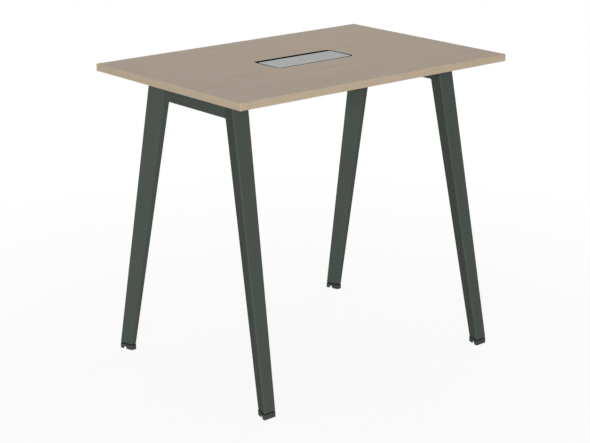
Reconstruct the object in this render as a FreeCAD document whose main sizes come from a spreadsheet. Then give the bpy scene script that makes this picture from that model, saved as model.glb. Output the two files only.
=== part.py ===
import FreeCAD, Part
import math
import os
import re
import Sketcher

# Standing meeting table, in mm. The origin is on the floor below the middle of the top.
# X runs along the top's long side, Y along its short side and +Z is up.

SIZES = {
    # top
    "tableHeight": 1075,
    "topLength": 1200,
    "topDepth": 800,
    "topThick": 25,
    "bandThick": 2,
    "bandRound": 0.8,
    "cornerRound": 1.5,
    # legs: a trapezoid in plan, wide towards the table's outside in Y
    "legWallThick": 2,
    "legTopWidth": 70,
    "legInnerWidth": 27,
    "legSectionDepth": 72,
    "legEndWidth": 50.5,
    "legRound": 4,
    "legTopInset": 133,
    "legTopPlaceY": 227,
    "legEndInset": 94.5,
    "legEndPlaceY": 420,
    # plates that carry the top
    "plateThick": 3,
    "plateLength": 112,
    "plateDepth": 100,
    "plateRound": 8,
    "plateHoleInset": 11,
    "topScrewDiameter": 5,
    "topScrewLength": 19,
    "topScrewHeadDiameter": 9.5,
    "topScrewHeadThick": 2.6,
    # end rails
    "endRailWidth": 25,
    "endRailTall": 80,
    "railWallThick": 2,
    "railRound": 2,
    # long rails with their cleats
    "longRailWidth": 30,
    "longRailTall": 50,
    "longRailClear": 8,
    "longRailGap": 2,
    "cleatThick": 4,
    "cleatWidth": 44,
    "cleatReach": 58,
    "cleatDrop": 14,
    "railBoltDiameter": 8,
    "railBoltHeadWide": 13,
    "railBoltHeadThick": 5.3,
    "railNutThick": 6.8,
    "railBoltPlace": 34,
    "boltClearance": 0.25,
    # leg ends
    "footTall": 17.5,
    "footOverhang": 0.5,
    "footWallThick": 3,
    "footRoofThick": 4,
    "footBossDiameter": 26,
    "footBossDrop": 4,
    "footRecessDeep": 5.5,
    "archRadius": 6.5,
    "archRise": 2.5,
    "archPlace": 21.5,
    "collarTall": 4.5,
    "collarInset": 3,
    "plugTall": 32,
    "plugFit": 0.15,
    "pegDiameter": 5,
    "pegGrip": 5,
    "pegHeadroom": 1,
    "pegOffset": 17,
    "pegClearance": 0.2,
    # levelling screws
    "levelScrewDiameter": 10,
    "levelScrewPlace": 23,
    "levelFlangeDiameter": 19,
    "levelFlangeThick": 4,
    "levelFlangeClearance": 0.5,
    "levelEndDiameter": 8,
    "levelEndLength": 5.5,
    "levelNutWide": 17,
    "levelNutThick": 8,
    "levelTravel": 10,
    "ringDiameter": 14,
    "ringThick": 1.2,
    "runningClearance": 0.05,
    # cable port
    "portLength": 348,
    "portDepth": 144,
    "portRimThick": 5.5,
    "portFit": 0.2,
    "portFlangeThick": 3,
    "portFlangeWidth": 14,
    "portSillThick": 3,
    "portSillWidth": 16,
    "portScrewDiameter": 3.5,
    "portScrewLength": 14,
    "portScrewHeadDiameter": 7,
    "portScrewHeadThick": 2,
    "portScrewInset": 58,
    "lidGap": 2,
    "lidThick": 3,
    "lidCornerRound": 13,
    "lidEdgeRound": 0.6,
    "lidBarrelRadius": 4,
    "slotWidth": 16,
    "ledgeWidth": 6,
    "ledgeTall": 8,
    "ledgeGap": 0.1,
    "hingePinDiameter": 3,
    "hingePinLength": 28,
    "brushHolderDepth": 7,
    "brushHolderTall": 9,
    "brushHolderDrop": 3.5,
    "brushReach": 14,
    "brushThick": 3,
    "brushEndGap": 0.5,
}

doc = FreeCAD.newDocument("StandingMeetingTable")
sheet = doc.addObject("Spreadsheet::Sheet", "Sizes")
for row, (alias, value) in enumerate(SIZES.items(), start=1):
    sheet.set(f"A{row}", alias)
    sheet.set(f"B{row}", str(value))
    sheet.setAlias(f"B{row}", alias)
doc.recompute()

# Heights and places that several pieces share, as expressions on the sheet's cells.
UNDER_TOP = "(tableHeight - topThick)"
LEG_TOP = "(tableHeight - topThick - plateThick)"
LEG_END = "(footTall + collarTall)"
RAIL_BOTTOM = f"({LEG_TOP} - endRailTall)"
LONG_RAIL_BOTTOM = f"({UNDER_TOP} - longRailTall)"
LEG_SLOPE = "((legTopWidth - legInnerWidth) / 2 / legSectionDepth)"
LEG_SIDE = f"sqrt(1 + {LEG_SLOPE} ^ 2)"
LEG_TOP_X = "(topLength / 2 - legTopInset)"
LEG_END_X = "(topLength / 2 - legEndInset)"
PLATE_Y = "(legTopPlaceY - legSectionDepth / 2)"
LONG_RAIL_Y = "(portDepth / 2 + portFlangeWidth + longRailClear + longRailWidth / 2)"
BOLT_HOLE = "(railBoltDiameter + 2 * boltClearance)"
SCREW_Y = "(legEndPlaceY - levelScrewPlace)"
SCREW_BASE = "(footTall - footRecessDeep)"
PLUG_TOP = f"({LEG_END} + plugTall)"
PEG_LENGTH = "(levelTravel + pegGrip)"
RIM_INNER_X = "(portLength / 2 - portRimThick)"
RIM_INNER_Y = "(portDepth / 2 - portRimThick)"
LID_BACK = f"(lidGap - {RIM_INNER_Y})"
LID_FRONT = f"({RIM_INNER_Y} - slotWidth)"
LID_END = f"({RIM_INNER_X} - lidGap)"
HINGE_Y = f"({LID_BACK} + lidCornerRound)"
HINGE_Z = "(tableHeight - lidThick / 2 - lidBarrelRadius)"

# Tests on edges: what counts as touching, in mm, and the cosines of steep and of parallel.
TOUCH = 0.01
STEEP = 0.9
PARALLEL = 0.999
ALONG_X = FreeCAD.Vector(1, 0, 0)
ALONG_Y = FreeCAD.Vector(0, 1, 0)
UPWARDS = FreeCAD.Vector(0, 0, 1)

CORNERS = {
    "front_left": (-1, -1),
    "front_right": (1, -1),
    "back_left": (-1, 1),
    "back_right": (1, 1),
}
ENDS = {"left": -1, "right": 1}
SIDES = {"front": -1, "back": 1}


def cells(text):
    """Point every cell name in an expression at the sheet."""
    return re.sub(r"[A-Za-z]+", lambda word: f"Sizes.{word[0]}" if word[0] in SIZES else word[0], str(text))


def bind(item, path, text):
    item.setExpression(path, cells(text))


def place(item, x="0", y="0", z="0"):
    bind(item, "Placement.Base.x", x)
    bind(item, "Placement.Base.y", y)
    bind(item, "Placement.Base.z", z)


# Section of a leg at a height, drawn inwards from its outside by an inset.

def leg_share(z):
    return f"(({LEG_TOP} - ({z})) / ({LEG_TOP} - {LEG_END}))"


def leg_centre_x(z):
    return f"({LEG_TOP_X} + ({LEG_END_X} - {LEG_TOP_X}) * {leg_share(z)})"


def leg_outer_y(z):
    return f"(legTopPlaceY + (legEndPlaceY - legTopPlaceY) * {leg_share(z)})"


def leg_scale(z):
    return f"(1 - (1 - legEndWidth / legTopWidth) * {leg_share(z)})"


def leg_inner_y(z):
    return f"({leg_outer_y(z)} - legSectionDepth * {leg_scale(z)})"


def leg_corners(z, inset, side_x, side_y):
    outer_half = f"(legTopWidth / 2 * {leg_scale(z)} - ({inset}) * ({LEG_SLOPE} + {LEG_SIDE}))"
    inner_half = f"(legInnerWidth / 2 * {leg_scale(z)} + ({inset}) * ({LEG_SLOPE} - {LEG_SIDE}))"
    outer_y = f"({leg_outer_y(z)} - ({inset}))"
    inner_y = f"({leg_inner_y(z)} + ({inset}))"
    centre = leg_centre_x(z)
    return [
        (f"{side_x} * ({centre} + {outer_half})", f"{side_y} * {outer_y}"),
        (f"{side_x} * ({centre} - {outer_half})", f"{side_y} * {outer_y}"),
        (f"{side_x} * ({centre} - {inner_half})", f"{side_y} * {inner_y}"),
        (f"{side_x} * ({centre} + {inner_half})", f"{side_y} * {inner_y}"),
    ]


# Bodies, sketches and features.

def new_body(label):
    body = doc.addObject("PartDesign::Body", label)
    body.Label = label
    return body


def new_sketch(body, plane="XY_Plane", offset="0"):
    sketch = body.newObject("Sketcher::SketchObject", "Sketch")
    support = next(item for item in body.Origin.OriginFeatures if item.Role == plane)
    sketch.AttachmentSupport = [(support, "")]
    sketch.MapMode = "FlatFace"
    bind(sketch, "AttachmentOffset.Base.z", offset)
    return sketch


def draw_polygon(sketch, corners):
    """Closed outline whose corners are each held at an expression in X and Y."""
    count = len(corners)
    start = sketch.GeometryCount
    turn = 2 * math.pi / count
    points = [FreeCAD.Vector(math.cos(turn * i), math.sin(turn * i), 0) for i in range(count)]
    for i in range(count):
        sketch.addGeometry(Part.LineSegment(points[i], points[(i + 1) % count]))
    for i, (x, y) in enumerate(corners):
        line = start + i
        before = start + (i - 1) % count
        sketch.addConstraint(Sketcher.Constraint("Coincident", before, 2, line, 1))
        held_x = sketch.addConstraint(Sketcher.Constraint("DistanceX", -1, 1, line, 1, points[i].x))
        bind(sketch, f"Constraints[{held_x}]", x)
        held_y = sketch.addConstraint(Sketcher.Constraint("DistanceY", -1, 1, line, 1, points[i].y))
        bind(sketch, f"Constraints[{held_y}]", y)


def draw_rectangle(sketch, low_x, low_y, high_x, high_y):
    draw_polygon(sketch, [(low_x, low_y), (high_x, low_y), (high_x, high_y), (low_x, high_y)])


def draw_block(sketch, half_x, half_y):
    draw_rectangle(sketch, f"-({half_x})", f"-({half_y})", half_x, half_y)


def draw_circle(sketch, x, y, diameter):
    centre = FreeCAD.Vector(1, 1, 0)
    circle = sketch.addGeometry(Part.Circle(centre, UPWARDS, 1))
    held_x = sketch.addConstraint(Sketcher.Constraint("DistanceX", -1, 1, circle, 3, centre.x))
    bind(sketch, f"Constraints[{held_x}]", x)
    held_y = sketch.addConstraint(Sketcher.Constraint("DistanceY", -1, 1, circle, 3, centre.y))
    bind(sketch, f"Constraints[{held_y}]", y)
    size = sketch.addConstraint(Sketcher.Constraint("Diameter", circle, 2))
    bind(sketch, f"Constraints[{size}]", diameter)


def pad(body, sketch, length, midplane=False):
    feature = body.newObject("PartDesign::Pad", "Pad")
    feature.Profile = sketch
    feature.Midplane = midplane
    bind(feature, "Length", length)
    return feature


def pocket(body, sketch, length, upwards=False, midplane=False):
    """Cut down from the sketch, or up from it; a cut that removes nothing is an error."""
    doc.recompute()
    before = body.Shape.Volume
    feature = body.newObject("PartDesign::Pocket", "Pocket")
    feature.Profile = sketch
    feature.Reversed = upwards
    feature.Midplane = midplane
    bind(feature, "Length", length)
    doc.recompute()
    if body.Shape.Volume >= before:
        raise ValueError(f"{body.Label}: a pocket cuts nothing")
    return feature


def loft(body, kind, first, last):
    feature = body.newObject(kind, "Loft")
    feature.Profile = first
    feature.Sections = [last]
    feature.Ruled = True
    return feature


def round_edges(body, radius, chosen):
    """Fillet the edges of the body's last feature that pass the test."""
    doc.recompute()
    base = body.Tip
    names = [f"Edge{i}" for i, edge in enumerate(base.Shape.Edges, start=1) if chosen(edge)]
    feature = body.newObject("PartDesign::Fillet", "Fillet")
    feature.Base = (base, names)
    bind(feature, "Radius", radius)
    doc.recompute()
    return feature


def is_at(value, reach):
    return abs(abs(value) - reach) < TOUCH


def is_upright(edge):
    along = edge.Vertexes[-1].Point - edge.Vertexes[0].Point
    return abs(along.z) > STEEP * edge.Length


def is_corner(edge, half_x, half_y):
    """An upright edge at one of the four corners of a block around the middle."""
    point = edge.Vertexes[0].Point
    return is_upright(edge) and is_at(point.x, half_x) and is_at(point.y, half_y)


def is_line_along(edge, axis):
    if edge.Curve.TypeId != "Part::GeomLine":
        return False
    along = edge.Curve.Direction
    return abs(along.dot(axis)) > PARALLEL * along.Length


def is_outer_line(edge, axis, across, reach):
    """A straight edge along one axis that lies as far out along another as reach."""
    return is_line_along(edge, axis) and is_at(edge.Vertexes[0].Point.dot(across), reach)


# Tabletop: a board with a cut-out, and four bands on its edges.

def plate_hole_places():
    inset = "plateHoleInset"
    spots = []
    for side_x, side_y in CORNERS.values():
        for step_x in (-1, 1):
            for step_y in (-1, 1):
                x = f"{side_x} * ({LEG_TOP_X} + {step_x} * (plateLength / 2 - {inset}))"
                y = f"{side_y} * ({PLATE_Y} + {step_y} * (plateDepth / 2 - {inset}))"
                spots.append((x, y))
    return spots


def port_screw_places():
    reach_x = "(portLength / 2 + portFlangeWidth / 2)"
    reach_y = "(portDepth / 2 + portFlangeWidth / 2)"
    spots = [(f"{side} * {reach_x}", "0") for side in (-1, 1)]
    for side_y in (-1, 1):
        for step in (-1, 1):
            spots.append((f"{step} * (portLength / 2 - portScrewInset)", f"{side_y} * {reach_y}"))
    return spots


def make_board():
    body = new_body("tabletop_board")
    base = new_sketch(body, offset=UNDER_TOP)
    draw_block(base, "topLength / 2 - bandThick", "topDepth / 2 - bandThick")
    pad(body, base, "topThick")
    opening = new_sketch(body, offset=UNDER_TOP)
    draw_block(opening, "portLength / 2 + portFit", "portDepth / 2 + portFit")
    pocket(body, opening, "topThick", upwards=True)
    half_x = SIZES["portLength"] / 2 + SIZES["portFit"]
    half_y = SIZES["portDepth"] / 2 + SIZES["portFit"]
    corner_round = "lidCornerRound + lidGap + portRimThick + portFit"
    round_edges(body, corner_round, lambda edge: is_corner(edge, half_x, half_y))
    pilots = new_sketch(body, offset=UNDER_TOP)
    for x, y in plate_hole_places():
        draw_circle(pilots, x, y, "topScrewDiameter")
    pocket(body, pilots, "topScrewLength - plateThick", upwards=True)
    port_pilots = new_sketch(body, offset=UNDER_TOP)
    for x, y in port_screw_places():
        draw_circle(port_pilots, x, y, "portScrewDiameter")
    pocket(body, port_pilots, "portScrewLength - portFlangeThick", upwards=True)
    return body


def make_long_band(side_name, side):
    body = new_body(f"edge_band_{side_name}")
    base = new_sketch(body, offset=UNDER_TOP)
    near = f"{side} * (topDepth / 2 - bandThick)"
    far = f"{side} * topDepth / 2"
    draw_rectangle(base, "-topLength / 2", near, "topLength / 2", far)
    pad(body, base, "topThick")
    outside = SIZES["topDepth"] / 2
    round_edges(body, "cornerRound", lambda edge: is_upright(edge) and is_at(edge.Vertexes[0].Y, outside))
    round_edges(body, "bandRound", lambda edge: is_outer_line(edge, ALONG_X, ALONG_Y, outside))
    return body


def make_short_band(end_name, end):
    body = new_body(f"edge_band_{end_name}")
    base = new_sketch(body, offset=UNDER_TOP)
    near = f"{end} * (topLength / 2 - bandThick)"
    far = f"{end} * topLength / 2"
    draw_rectangle(base, near, "bandThick - topDepth / 2", far, "topDepth / 2 - bandThick")
    pad(body, base, "topThick")
    outside = SIZES["topLength"] / 2
    round_edges(body, "bandRound", lambda edge: is_outer_line(edge, ALONG_Y, ALONG_X, outside))
    return body


# Legs and rails.

def make_leg(name, side_x, side_y):
    body = new_body(f"leg_{name}")
    top = new_sketch(body, offset=LEG_TOP)
    draw_polygon(top, leg_corners(LEG_TOP, "0", side_x, side_y))
    end = new_sketch(body, offset=LEG_END)
    draw_polygon(end, leg_corners(LEG_END, "0", side_x, side_y))
    loft(body, "PartDesign::AdditiveLoft", top, end)
    half_run = SIZES["tableHeight"] / 2
    round_edges(body, "legRound", lambda edge: edge.Length > half_run)
    hollow_top = new_sketch(body, offset=LEG_TOP)
    draw_polygon(hollow_top, leg_corners(LEG_TOP, "legWallThick", side_x, side_y))
    hollow_end = new_sketch(body, offset=LEG_END)
    draw_polygon(hollow_end, leg_corners(LEG_END, "legWallThick", side_x, side_y))
    loft(body, "PartDesign::SubtractiveLoft", hollow_top, hollow_end)
    return body


def make_top_plate(name, side_x, side_y):
    body = new_body(f"top_plate_{name}")
    base = new_sketch(body, offset=LEG_TOP)
    low_x = f"{side_x} * {LEG_TOP_X} - plateLength / 2"
    high_x = f"{side_x} * {LEG_TOP_X} + plateLength / 2"
    low_y = f"{side_y} * {PLATE_Y} - plateDepth / 2"
    high_y = f"{side_y} * {PLATE_Y} + plateDepth / 2"
    draw_rectangle(base, low_x, low_y, high_x, high_y)
    pad(body, base, "plateThick")
    round_edges(body, "plateRound", is_upright)
    holes = new_sketch(body, offset=LEG_TOP)
    for step_x in (-1, 1):
        for step_y in (-1, 1):
            x = f"{side_x} * {LEG_TOP_X} + {step_x} * (plateLength / 2 - plateHoleInset)"
            y = f"{side_y} * {PLATE_Y} + {step_y} * (plateDepth / 2 - plateHoleInset)"
            draw_circle(holes, x, y, "topScrewDiameter + 2 * boltClearance")
    pocket(body, holes, "plateThick", upwards=True)
    return body


def rail_rectangle(sketch, z, inset, over, end):
    """Plan of an end rail at a height: between the legs' inner faces, or past them by over."""
    centre = f"{end} * {leg_centre_x(z)}"
    half = f"(endRailWidth / 2 - ({inset}))"
    reach = f"({leg_inner_y(z)} + ({over}))"
    draw_rectangle(sketch, f"{centre} - {half}", f"-{reach}", f"{centre} + {half}", reach)


def make_end_rail(end_name, end):
    body = new_body(f"end_rail_{end_name}")
    top = new_sketch(body, offset=LEG_TOP)
    rail_rectangle(top, LEG_TOP, "0", "0", end)
    bottom = new_sketch(body, offset=RAIL_BOTTOM)
    rail_rectangle(bottom, RAIL_BOTTOM, "0", "0", end)
    loft(body, "PartDesign::AdditiveLoft", top, bottom)
    round_edges(body, "railRound", lambda edge: is_line_along(edge, ALONG_Y))
    hollow_top = f"({LEG_TOP} - railWallThick)"
    hollow_bottom = f"({RAIL_BOTTOM} + railWallThick)"
    inner_top = new_sketch(body, offset=hollow_top)
    rail_rectangle(inner_top, hollow_top, "railWallThick", "endRailWidth", end)
    inner_bottom = new_sketch(body, offset=hollow_bottom)
    rail_rectangle(inner_bottom, hollow_bottom, "railWallThick", "endRailWidth", end)
    loft(body, "PartDesign::SubtractiveLoft", inner_top, inner_bottom)
    return body


def rail_face_x(z):
    """Distance from the middle to an end rail's inner face at a height."""
    return f"({leg_centre_x(z)} - endRailWidth / 2)"


def rail_bolt_x(end):
    return f"{end} * ({rail_face_x(LONG_RAIL_BOTTOM)} - railBoltPlace)"


def make_long_rail(side_name, side):
    body = new_body(f"long_rail_{side_name}")
    base = new_sketch(body, offset=LONG_RAIL_BOTTOM)
    half = f"({rail_face_x(UNDER_TOP)} - cleatThick - longRailGap)"
    low_y = f"{side} * {LONG_RAIL_Y} - longRailWidth / 2"
    high_y = f"{side} * {LONG_RAIL_Y} + longRailWidth / 2"
    draw_rectangle(base, f"-{half}", low_y, half, high_y)
    pad(body, base, "longRailTall")
    round_edges(body, "railRound", lambda edge: is_line_along(edge, ALONG_X))
    inside = new_sketch(body, plane="YZ_Plane")
    draw_rectangle(
        inside,
        f"{low_y} + railWallThick",
        f"{LONG_RAIL_BOTTOM} + railWallThick",
        f"{high_y} - railWallThick",
        f"{UNDER_TOP} - railWallThick",
    )
    pocket(body, inside, "topLength", midplane=True)
    holes = new_sketch(body, offset=LONG_RAIL_BOTTOM)
    for end in ENDS.values():
        draw_circle(holes, rail_bolt_x(end), f"{side} * {LONG_RAIL_Y}", BOLT_HOLE)
    pocket(body, holes, "railWallThick", upwards=True)
    return body


def make_cleat(end_name, end, side_name, side):
    """Angle on an end rail's inner face that a long rail rests on."""
    body = new_body(f"cleat_{side_name}_{end_name}")
    profile = new_sketch(body, plane="XZ_Plane", offset=f"-{side} * {LONG_RAIL_Y}")
    top = f"({UNDER_TOP} - cleatDrop)"
    shelf_bottom = f"({LONG_RAIL_BOTTOM} - cleatThick)"
    corners = [
        (rail_face_x(top), top),
        (f"{rail_face_x(top)} - cleatThick", top),
        (f"{rail_face_x(LONG_RAIL_BOTTOM)} - cleatThick", LONG_RAIL_BOTTOM),
        (f"{rail_face_x(LONG_RAIL_BOTTOM)} - cleatReach", LONG_RAIL_BOTTOM),
        (f"{rail_face_x(LONG_RAIL_BOTTOM)} - cleatReach", shelf_bottom),
        (rail_face_x(shelf_bottom), shelf_bottom),
    ]
    draw_polygon(profile, [(f"{end} * ({x})", z) for x, z in corners])
    pad(body, profile, "cleatWidth", midplane=True)
    hole = new_sketch(body, offset=shelf_bottom)
    draw_circle(hole, rail_bolt_x(end), f"{side} * {LONG_RAIL_Y}", BOLT_HOLE)
    pocket(body, hole, "cleatThick", upwards=True)
    return body


# Fasteners. Each is turned or hexagonal about an upright axis; a group of them is one compound.

def cylinder(diameter, height, x, y, z):
    item = doc.addObject("Part::Cylinder", "Cylinder")
    bind(item, "Radius", f"({diameter}) / 2")
    bind(item, "Height", height)
    place(item, x, y, z)
    return item


def hexagon(wide, height, x, y, z):
    item = doc.addObject("Part::Prism", "Hexagon")
    item.Polygon = 6
    bind(item, "Circumradius", f"({wide}) / sqrt(3)")
    bind(item, "Height", height)
    place(item, x, y, z)
    return item


def joined(*parts):
    item = doc.addObject("Part::MultiFuse", "Joined")
    item.Shapes = list(parts)
    return item


def drilled(base, tool):
    item = doc.addObject("Part::Cut", "Drilled")
    item.Base = base
    item.Tool = tool
    return item


def group(label, parts):
    item = doc.addObject("Part::Compound", label)
    item.Label = label
    item.Links = parts
    return item


def make_top_screws():
    head_bottom = f"{LEG_TOP} - topScrewHeadThick"
    screws = []
    for x, y in plate_hole_places():
        shank = cylinder("topScrewDiameter", "topScrewLength", x, y, LEG_TOP)
        head = cylinder("topScrewHeadDiameter", "topScrewHeadThick", x, y, head_bottom)
        screws.append(joined(shank, head))
    return group("top_screws", screws)


def make_port_screws():
    seat = f"({UNDER_TOP} - portFlangeThick)"
    screws = []
    for x, y in port_screw_places():
        shank = cylinder("portScrewDiameter", "portScrewLength", x, y, seat)
        head = cylinder("portScrewHeadDiameter", "portScrewHeadThick", x, y, f"{seat} - portScrewHeadThick")
        screws.append(joined(shank, head))
    return group("port_screws", screws)


def make_rail_bolts():
    seat = f"({LONG_RAIL_BOTTOM} - cleatThick)"
    length = "(cleatThick + railWallThick + railNutThick + railWallThick)"
    bolts = []
    nuts = []
    for side in SIDES.values():
        for end in ENDS.values():
            x = rail_bolt_x(end)
            y = f"{side} * {LONG_RAIL_Y}"
            shank = cylinder("railBoltDiameter", length, x, y, seat)
            head = hexagon("railBoltHeadWide", "railBoltHeadThick", x, y, f"{seat} - railBoltHeadThick")
            bolts.append(joined(shank, head))
            nut_seat = f"{LONG_RAIL_BOTTOM} + railWallThick"
            blank = hexagon("railBoltHeadWide", "railNutThick", x, y, nut_seat)
            bore = cylinder("railBoltDiameter", "railNutThick", x, y, nut_seat)
            nuts.append(drilled(blank, bore))
    return [group("rail_bolts", bolts), group("rail_nuts", nuts)]


# Leg ends: a plug with a nut in the leg, and a hollow foot that hangs on a levelling screw. The
# foot goes straight down and follows the section of the leg's end, a little outside it.

def foot_corners(inset, side_x, side_y):
    return leg_corners(LEG_END, f"({inset}) - footOverhang", side_x, side_y)


def make_plug(name, side_x, side_y):
    body = new_body(f"leg_plug_{name}")
    inside = "(legWallThick + plugFit)"
    low = new_sketch(body, offset=LEG_END)
    draw_polygon(low, leg_corners(LEG_END, inside, side_x, side_y))
    high = new_sketch(body, offset=PLUG_TOP)
    draw_polygon(high, leg_corners(PLUG_TOP, inside, side_x, side_y))
    loft(body, "PartDesign::AdditiveLoft", low, high)
    collar = new_sketch(body, offset="footTall")
    draw_polygon(collar, leg_corners(LEG_END, "collarInset", side_x, side_y))
    pad(body, collar, "collarTall")
    bore = new_sketch(body, offset="footTall")
    axis = (f"{side_x} * {LEG_END_X}", f"{side_y} * {SCREW_Y}")
    draw_circle(bore, *axis, "levelScrewDiameter + 2 * boltClearance")
    pocket(body, bore, "collarTall + plugTall", upwards=True)
    guide = new_sketch(body, offset="footTall")
    draw_circle(guide, axis[0], f"{side_y} * ({SCREW_Y} - pegOffset)", "pegDiameter + 2 * pegClearance")
    pocket(body, guide, f"{PEG_LENGTH} + pegHeadroom", upwards=True)
    seat = hexagon("levelNutWide", "levelNutThick", *axis, f"{PLUG_TOP} - levelNutThick")
    item = drilled(body, seat)
    item.Label = f"leg_end_plug_{name}"
    return item


def make_level_nut(name, side_x, side_y):
    axis = (f"{side_x} * {LEG_END_X}", f"{side_y} * {SCREW_Y}")
    seat = f"{PLUG_TOP} - levelNutThick"
    blank = hexagon("levelNutWide", "levelNutThick", *axis, seat)
    bore = cylinder("levelScrewDiameter + 2 * runningClearance", "levelNutThick", *axis, seat)
    item = drilled(blank, bore)
    item.Label = f"level_nut_{name}"
    return item


def make_foot(name, side_x, side_y):
    body = new_body(f"foot_{name}")
    outline = new_sketch(body)
    draw_polygon(outline, foot_corners("0", side_x, side_y))
    pad(body, outline, "footTall")
    round_edges(body, "legRound", is_upright)
    roof = "(footTall - footRoofThick)"
    hollow = new_sketch(body)
    draw_polygon(hollow, foot_corners("footWallThick", side_x, side_y))
    pocket(body, hollow, roof, upwards=True)
    axis = (f"{side_x} * {LEG_END_X}", f"{side_y} * {SCREW_Y}")
    boss = new_sketch(body, offset=f"{roof} - footBossDrop")
    draw_circle(boss, *axis, "footBossDiameter")
    pad(body, boss, "footBossDrop + footRoofThick / 2")
    peg = new_sketch(body, offset=roof)
    draw_circle(peg, axis[0], f"{side_y} * ({SCREW_Y} - pegOffset)", "pegDiameter")
    pad(body, peg, f"footRoofThick + {PEG_LENGTH}")
    recess = new_sketch(body, offset="footTall")
    draw_circle(recess, *axis, "levelFlangeDiameter + 2 * levelFlangeClearance")
    pocket(body, recess, "footRecessDeep")
    bore = new_sketch(body, offset="footTall")
    draw_circle(bore, *axis, "levelEndDiameter + 2 * runningClearance")
    pocket(body, bore, "footTall")
    arch_y = f"{side_y} * (legEndPlaceY - archPlace)"
    arch = new_sketch(body, plane="YZ_Plane", offset=f"{side_x} * {LEG_END_X}")
    draw_rectangle(arch, f"{arch_y} - archRadius", "0", f"{arch_y} + archRadius", "archRise")
    pocket(body, arch, "2 * legEndWidth", midplane=True)
    arch_top = new_sketch(body, plane="YZ_Plane", offset=f"{side_x} * {LEG_END_X}")
    draw_circle(arch_top, arch_y, "archRise", "2 * archRadius")
    pocket(body, arch_top, "2 * legEndWidth", midplane=True)
    return body


def make_level_screw(name, side_x, side_y):
    x = f"{side_x} * {LEG_END_X}"
    y = f"{side_y} * {SCREW_Y}"
    length = f"{PLUG_TOP} + levelTravel - {SCREW_BASE}"
    shank = cylinder("levelScrewDiameter", length, x, y, SCREW_BASE)
    flange = cylinder("levelFlangeDiameter", "levelFlangeThick", x, y, SCREW_BASE)
    neck = cylinder("levelEndDiameter", "levelEndLength", x, y, f"{SCREW_BASE} - levelEndLength")
    item = joined(shank, flange, neck)
    item.Label = f"level_screw_{name}"
    return item


def make_ring(name, side_x, side_y):
    x = f"{side_x} * {LEG_END_X}"
    y = f"{side_y} * {SCREW_Y}"
    z = "footTall - footRoofThick - footBossDrop - ringThick"
    outside = cylinder("ringDiameter", "ringThick", x, y, z)
    inside = cylinder("levelEndDiameter", "ringThick", x, y, z)
    item = drilled(outside, inside)
    item.Label = f"retaining_ring_{name}"
    return item


# Cable port.

def make_port_frame():
    body = new_body("port_frame")
    flange_bottom = f"({UNDER_TOP} - portFlangeThick)"
    flange = new_sketch(body, offset=flange_bottom)
    draw_block(flange, "portLength / 2 + portFlangeWidth", "portDepth / 2 + portFlangeWidth")
    pad(body, flange, "portFlangeThick")
    wall = new_sketch(body, offset=flange_bottom)
    draw_block(wall, "portLength / 2", "portDepth / 2")
    pad(body, wall, "topThick + portFlangeThick")
    throat = new_sketch(body, offset=f"{flange_bottom} + portSillThick")
    draw_block(throat, RIM_INNER_X, RIM_INNER_Y)
    pocket(body, throat, "topThick + portFlangeThick - portSillThick", upwards=True)
    # A sill on three sides lies below the gap around the lid.
    passage = new_sketch(body, offset=flange_bottom)
    sill_x = f"({RIM_INNER_X} - portSillWidth)"
    sill_y = f"({RIM_INNER_Y} - portSillWidth)"
    draw_rectangle(passage, f"-{sill_x}", f"-{sill_y}", sill_x, RIM_INNER_Y)
    pocket(body, passage, "portSillThick", upwards=True)
    half_x = SIZES["portLength"] / 2
    half_y = SIZES["portDepth"] / 2
    rim = SIZES["portRimThick"]
    sill = rim + SIZES["portSillWidth"]
    round_edges(body, "lidCornerRound", lambda edge: is_corner(edge, half_x - sill, half_y - sill))
    round_edges(body, "lidCornerRound + lidGap", lambda edge: is_corner(edge, half_x - rim, half_y - rim))
    round_edges(body, "lidCornerRound + lidGap + portRimThick", lambda edge: is_corner(edge, half_x, half_y))
    ledge_top = "(tableHeight - lidThick - ledgeGap)"
    ledges = new_sketch(body, offset=f"{ledge_top} - ledgeTall")
    for end in ENDS.values():
        wall_x = f"{end} * ({RIM_INNER_X} + portRimThick / 2)"
        tip_x = f"{end} * ({RIM_INNER_X} - ledgeWidth)"
        back_y = f"{LID_BACK} + 2 * lidCornerRound"
        draw_rectangle(ledges, wall_x, back_y, tip_x, f"{LID_FRONT} - lidGap")
    pad(body, ledges, "ledgeTall")
    pin_holes = new_sketch(body, plane="YZ_Plane")
    draw_circle(pin_holes, HINGE_Y, HINGE_Z, "hingePinDiameter")
    pocket(body, pin_holes, "2 * portLength", midplane=True)
    screw_holes = new_sketch(body, offset=flange_bottom)
    for x, y in port_screw_places():
        draw_circle(screw_holes, x, y, "portScrewDiameter")
    pocket(body, screw_holes, "portFlangeThick", upwards=True)
    return body


def make_lid():
    body = new_body("port_lid")
    plan = new_sketch(body, offset="tableHeight - lidThick")
    draw_rectangle(plan, f"-{LID_END}", LID_BACK, LID_END, LID_FRONT)
    pad(body, plan, "lidThick")
    round_edges(body, "lidCornerRound", lambda edge: is_upright(edge) and edge.Vertexes[0].Y < 0)
    top = SIZES["tableHeight"]
    round_edges(body, "lidEdgeRound", lambda edge: edge.BoundBox.ZMin > top - TOUCH)
    barrel = new_sketch(body, plane="YZ_Plane")
    draw_circle(barrel, HINGE_Y, HINGE_Z, "2 * lidBarrelRadius")
    pad(body, barrel, f"2 * ({LID_END} - lidCornerRound)", midplane=True)
    bore = new_sketch(body, plane="YZ_Plane")
    draw_circle(bore, HINGE_Y, HINGE_Z, "hingePinDiameter + 2 * runningClearance")
    pocket(body, bore, "portLength", midplane=True)
    return body


def make_hinge_pins():
    pins = []
    for end in ENDS.values():
        pin = cylinder("hingePinDiameter", "hingePinLength", "0", HINGE_Y, HINGE_Z)
        pin.Placement.Rotation = FreeCAD.Rotation(UPWARDS, ALONG_X)
        start = "portLength / 2 - hingePinLength" if end > 0 else "-portLength / 2"
        bind(pin, "Placement.Base.x", start)
        pins.append(pin)
    return group("hinge_pins", pins)


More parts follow.
